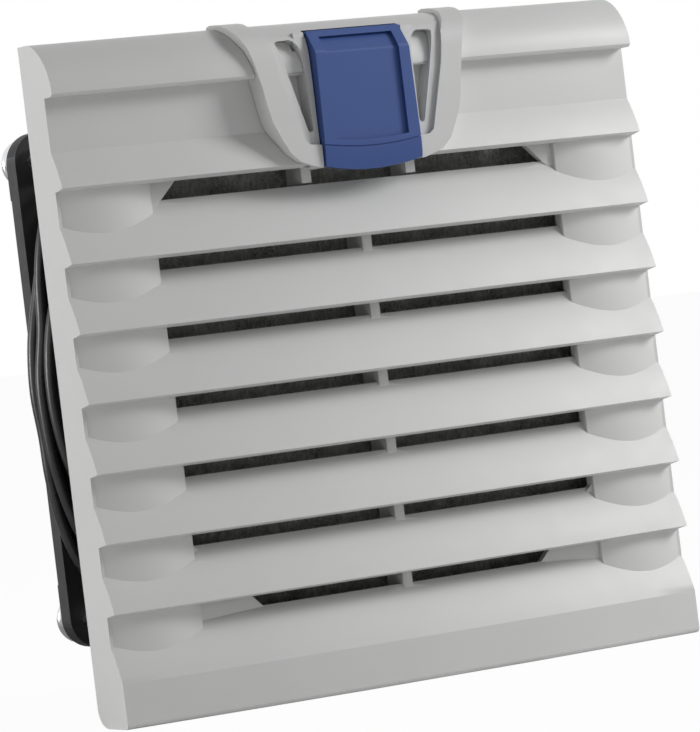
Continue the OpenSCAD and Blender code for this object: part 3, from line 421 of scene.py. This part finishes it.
def tube_mesh(name, path, radius, sides):
    p = np.array(path)
    t = np.gradient(p, axis=0)
    t /= np.linalg.norm(t, axis=1)[:, None]
    v = np.array([0.0, 1.0, 0.0])
    u = np.cross(t, v)
    u /= np.linalg.norm(u, axis=1)[:, None]
    turn = np.linspace(0, 2 * np.pi, sides, endpoint=False)
    rings = p[:, None] + radius * (np.cos(turn)[None, :, None] * u[:, None] + np.sin(turn)[None, :, None] * v)
    n = len(p)
    faces = [(i + k, i + (k + 1) % sides, i + sides + (k + 1) % sides, i + sides + k)
             for i in range(0, (n - 1) * sides, sides) for k in range(sides)]
    faces += [tuple(range(sides))[::-1], tuple((n - 1) * sides + k for k in range(sides))]
    mesh = bpy.data.meshes.new(name)
    mesh.from_pydata(rings.reshape(-1, 3).tolist(), [], faces)
    for f in mesh.polygons:
        f.use_smooth = len(f.vertices) == 4
    mesh.validate()
    return mesh


def smooth_path(points, steps):
    """A curve through all the points, with steps between each two."""
    p = np.array(points, float)
    ext = np.vstack([2 * p[0] - p[1], p, 2 * p[-1] - p[-2]])
    out = []
    for i in range(1, len(ext) - 2):
        a, b, c, d = ext[i - 1:i + 3]
        for k in range(steps):
            s = k / steps
            out.append(0.5 * (2 * b + (c - a) * s + (2 * a - 5 * b + 4 * c - d) * s ** 2
                              + (3 * b - a - 3 * c + d) * s ** 3))
    return np.vstack([out, p[-1]])


def make_leads():
    for node, (route, depth) in lead_routes().items():
        path = smooth_path([(x * MM, depth * MM, z * MM) for x, z in route], 5)
        mesh = tube_mesh(node + "_jacket", path, LEAD_R * MM, 20)
        obj = add_object(node + "_jacket", mesh)
        dress(obj, "lead_jacket")
        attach(obj, "root")
        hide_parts(node)


# Filter mat: an uneven slab under a layer of crimped fibres
def make_mat():
    rng = np.random.default_rng(7)
    low, high = (np.array(c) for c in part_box("filter_mat"))
    make_slab(rng, low, high)
    make_fibres(rng, low, high)


def make_slab(rng, low, high):
    n = 150  # points along each side of the uneven face
    xs, zs = np.linspace(low[0], high[0], n), np.linspace(low[2], high[2], n)
    rough = rng.random((n, n))
    for _ in range(2):
        beside = np.roll(rough, 1, 0) + np.roll(rough, -1, 0) + np.roll(rough, 1, 1) + np.roll(rough, -1, 1)
        rough = (rough + beside) / 5
    rough = (rough - rough.min()) / (rough.max() - rough.min())
    front = [(x, low[1] + (0.15 + 1.1 * rough[i, j]) * MM, z)
             for i, x in enumerate(xs) for j, z in enumerate(zs)]
    faces = [(i * n + j, (i + 1) * n + j, (i + 1) * n + j + 1, i * n + j + 1)
             for i in range(n - 1) for j in range(n - 1)]
    rim = [i * n for i in range(n)] + [(n - 1) * n + j for j in range(1, n)]
    rim += [i * n + n - 1 for i in range(n - 2, -1, -1)] + [j for j in range(n - 2, 0, -1)]
    back = [(front[k][0], high[1], front[k][2]) for k in rim]
    base, m = len(front), len(rim)
    faces += [(rim[(k + 1) % m], rim[k], base + k, base + (k + 1) % m) for k in range(m)]
    faces.append(tuple(base + k for k in range(m)))
    mesh = bpy.data.meshes.new("mat_body")
    mesh.from_pydata(front + back, [], faces)
    for f in mesh.polygons:
        f.use_smooth = f.index < (n - 1) ** 2
    body = add_object("mat_body", mesh)
    dress(body, "filter_fibre")
    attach(body, "root")
    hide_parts("filter_mat")


FIBRES = 5200
FIBRE_STEPS = 7
FIBRE_R = 0.055 * MM
CORNERS = (0.5, 2.6, 4.7)  # the fibre's three corners, as angles


def make_fibres(rng, low, high):
    start, rim = 3.0 * MM, 0.4 * MM  # distances kept from the mat's edge
    into = np.array([0, 1, 0])
    sides = len(CORNERS)
    verts, faces = [], []
    for _ in range(FIBRES):
        p = np.array([rng.uniform(low[0] + start, high[0] - start), 0,
                      rng.uniform(low[2] + start, high[2] - start)])
        heading, bend = rng.uniform(0, 2 * np.pi), rng.normal(0, 0.45)
        depth = low[1] + rng.uniform(0.1, 0.75) * MM
        step = rng.uniform(0.8, 1.6) * MM
        first = len(verts)
        for i in range(FIBRE_STEPS):
            wave = depth + 0.12 * MM * math.sin(i * 1.7 + bend * 9)
            side = np.array([-math.sin(heading), 0, math.cos(heading)])
            c = np.array([min(max(p[0], low[0] + rim), high[0] - rim), wave,
                          min(max(p[2], low[2] + rim), high[2] - rim)])
            for a in CORNERS:
                verts.append(tuple(c + FIBRE_R * (math.cos(a) * side + math.sin(a) * into)))
            p = p + step * np.array([math.cos(heading), 0, math.sin(heading)])
            heading += bend
        for i in range(FIBRE_STEPS - 1):
            for k in range(sides):
                a, b = first + i * sides + k, first + i * sides + (k + 1) % sides
                faces.append((a, b, b + sides, a + sides))
        faces += [(first + 2, first + 1, first), tuple(first + (FIBRE_STEPS - 1) * sides + k for k in range(sides))]
    mesh = bpy.data.meshes.new("mat_fibres")
    mesh.from_pydata(verts, [], faces)
    mesh.materials.append(MATERIALS["fibre_strand"])
    fibres = add_object("mat_fibres", mesh)
    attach(fibres, "root")


# Stage: a floor that looks white to the camera, a white world and two lamps
def make_floor():
    size, z = 14.0, cad_box[0][2]
    mesh = bpy.data.meshes.new("floor")
    mesh.from_pydata([(-size, -size, z), (size, -size, z), (size, size, z), (-size, size, z)], [], [(0, 1, 2, 3)])
    floor = add_object("floor", mesh)
    t = Tree("floor_paint")
    t.surface(t.ramp(t.noise(3, 2), (0.9, 0.9, 0.9), (0.93, 0.93, 0.93)), 0.8, Specular_IOR_Level=0.1)
    glow = t.add("ShaderNodeEmission")
    glow.inputs["Color"].default_value = WHITE
    path = t.add("ShaderNodeLightPath")
    share = t.add("ShaderNodeMath", operation="MULTIPLY")
    t.put(share.inputs[0], path.outputs["Is Camera Ray"])
    share.inputs[1].default_value = 0.96  # the rest keeps the object's shadow
    mix = t.add("ShaderNodeMixShader")
    t.put(mix.inputs[0], share.outputs[0])
    t.put(mix.inputs[1], t.bsdf.outputs[0])
    t.put(mix.inputs[2], glow.outputs[0])
    t.put(t.nodes["Material Output"].inputs["Surface"], mix.outputs[0])
    mesh.materials.append(t.mat)


def make_world():
    world = bpy.data.worlds.new("studio")
    bpy.context.scene.world = world
    world.use_nodes = True
    nodes, links = world.node_tree.nodes, world.node_tree.links
    soft = nodes["Background"]
    soft.inputs["Color"].default_value = WHITE
    soft.inputs["Strength"].default_value = 0.18
    seen = nodes.new("ShaderNodeBackground")
    seen.inputs["Color"].default_value = WHITE
    seen.inputs["Strength"].default_value = 1.0
    path = nodes.new("ShaderNodeLightPath")
    seen_by = path.outputs["Is Camera Ray"]
    for ray in ("Is Glossy Ray", "Is Transmission Ray"):
        either = nodes.new("ShaderNodeMath")
        either.operation = "MAXIMUM"
        links.new(seen_by, either.inputs[0])
        links.new(path.outputs[ray], either.inputs[1])
        seen_by = either.outputs[0]
    mix = nodes.new("ShaderNodeMixShader")
    links.new(seen_by, mix.inputs[0])
    links.new(soft.outputs[0], mix.inputs[1])
    links.new(seen.outputs[0], mix.inputs[2])
    links.new(mix.outputs[0], nodes["World Output"].inputs["Surface"])


def area_lamp(name, place, size, power):
    data = bpy.data.lights.new(name, "AREA")
    data.shape = "SQUARE"
    data.size = size
    data.energy = power
    lamp = add_object(name, data)
    lamp.location = place
    lamp.rotation_euler = (-Vector(place)).to_track_quat("-Z", "Y").to_euler()


make_camera()
dress_nodes()
for source, piece, width, crease in (
        ("louvre_grille", "grille_shell", 0.3, 16), ("latch_bracket", "bracket_shell", 0.5, 32),
        ("latch_clip", "clip_shell", 0.3, 24), ("mounting_frame", "frame_shell", 0, 32)):
    rounded_copy(source, piece, width, crease)
column_faces()
lower_pads()
make_leads()
make_mat()
make_floor()
make_world()
area_lamp("key", (0.68, -0.4, 0.38), 0.28, 5.0)
area_lamp("side", (-0.9, 0.15, 0.12), 0.3, 3.6)
bpy.context.scene.view_settings.view_transform = "Standard"
